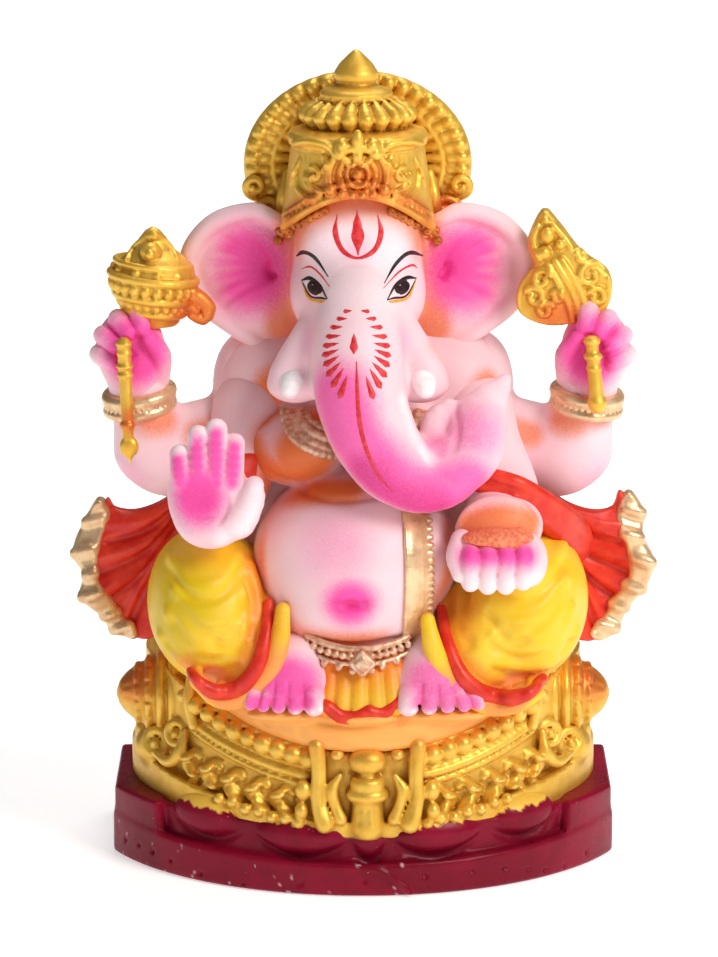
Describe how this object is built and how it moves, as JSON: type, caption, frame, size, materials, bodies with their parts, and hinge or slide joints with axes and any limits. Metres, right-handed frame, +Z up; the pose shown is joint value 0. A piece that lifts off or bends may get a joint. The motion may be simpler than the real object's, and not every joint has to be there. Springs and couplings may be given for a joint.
{
  "type": "devotional idol",
  "caption": "Seated elephant-headed deity figure on a gold throne and a maroon plinth, painted, free-standing on its flat base, for a household shrine.",
  "frame": {"origin": "middle of the base's underside", "axes": "+Z up from the base to the crown's tip, +X to the figure's left, +Y to its back; the figure faces -Y"},
  "size_m": [0.142, 0.08, 0.2],
  "materials": {
    "skin": "satin airbrushed flesh paint, deeper pink in the hollows",
    "gold": "metallic gold paint, warmer in the hollows",
    "plinth_maroon": "glossy maroon enamel",
    "seat_orange": "satin orange paint",
    "yellow_cloth": "satin yellow paint shaded with orange",
    "red_cloth": "satin red paint",
    "border_gold": "pale gold paint",
    "ivory": "satin white paint",
    "bronze": "dull bronze paint",
    "hair_brown": "satin brown-orange paint with dark dots",
    "sweet_orange": "satin orange paint"
  },
  "bodies": {
    "root": {"belly_strap": "border_gold", "belt_medallion": "bronze", "blessing_arm": "skin", "blessing_hand": "skin", "crown_band": "gold", "crown_cornice": "gold", "crown_finial": "gold", "crown_melon": "gold", "crown_rosette": "gold", "crown_volutes": "gold", "goad_head": "gold", "goad_shaft": "gold", "hair_fringe": "hair_brown", "halo": "gold", "halo_rail": "gold", "halo_ribs": "gold", "head": "skin", "left_bolster": "gold", "left_bracelet": "border_gold", "left_ear": "skin", "left_foot": "skin", "left_hem": "red_cloth", "left_leg": "yellow_cloth", "left_rear_arm": "skin", "left_rear_hand": "skin", "left_shawl": "red_cloth", "left_shawl_border": "border_gold", "left_tusk": "ivory", "necklace": "bronze", "noose_handle": "gold", "noose_head": "gold", "pleat_hem": "red_cloth", "pleats": "yellow_cloth", "plinth": "plinth_maroon", "plinth_lobes": "plinth_maroon", "resting_arm": "skin", "resting_hand": "skin", "right_bolster": "gold", "right_bracelet": "border_gold", "right_ear": "skin", "right_foot": "skin", "right_hem": "red_cloth", "right_leg": "yellow_cloth", "right_rear_arm": "skin", "right_rear_hand": "skin", "right_shawl": "red_cloth", "right_shawl_border": "border_gold", "right_tusk": "ivory", "seat_pad": "seat_orange", "shawl_drape": "red_cloth", "sweet": "sweet_orange", "throne_beads": "gold", "throne_body": "gold", "throne_crest": "gold", "throne_pilasters": "gold", "throne_rail": "gold", "throne_scrolls": "gold", "torso": "skin", "trunk": "skin", "waist_belt": "bronze"}
  },
  "joints": []
}
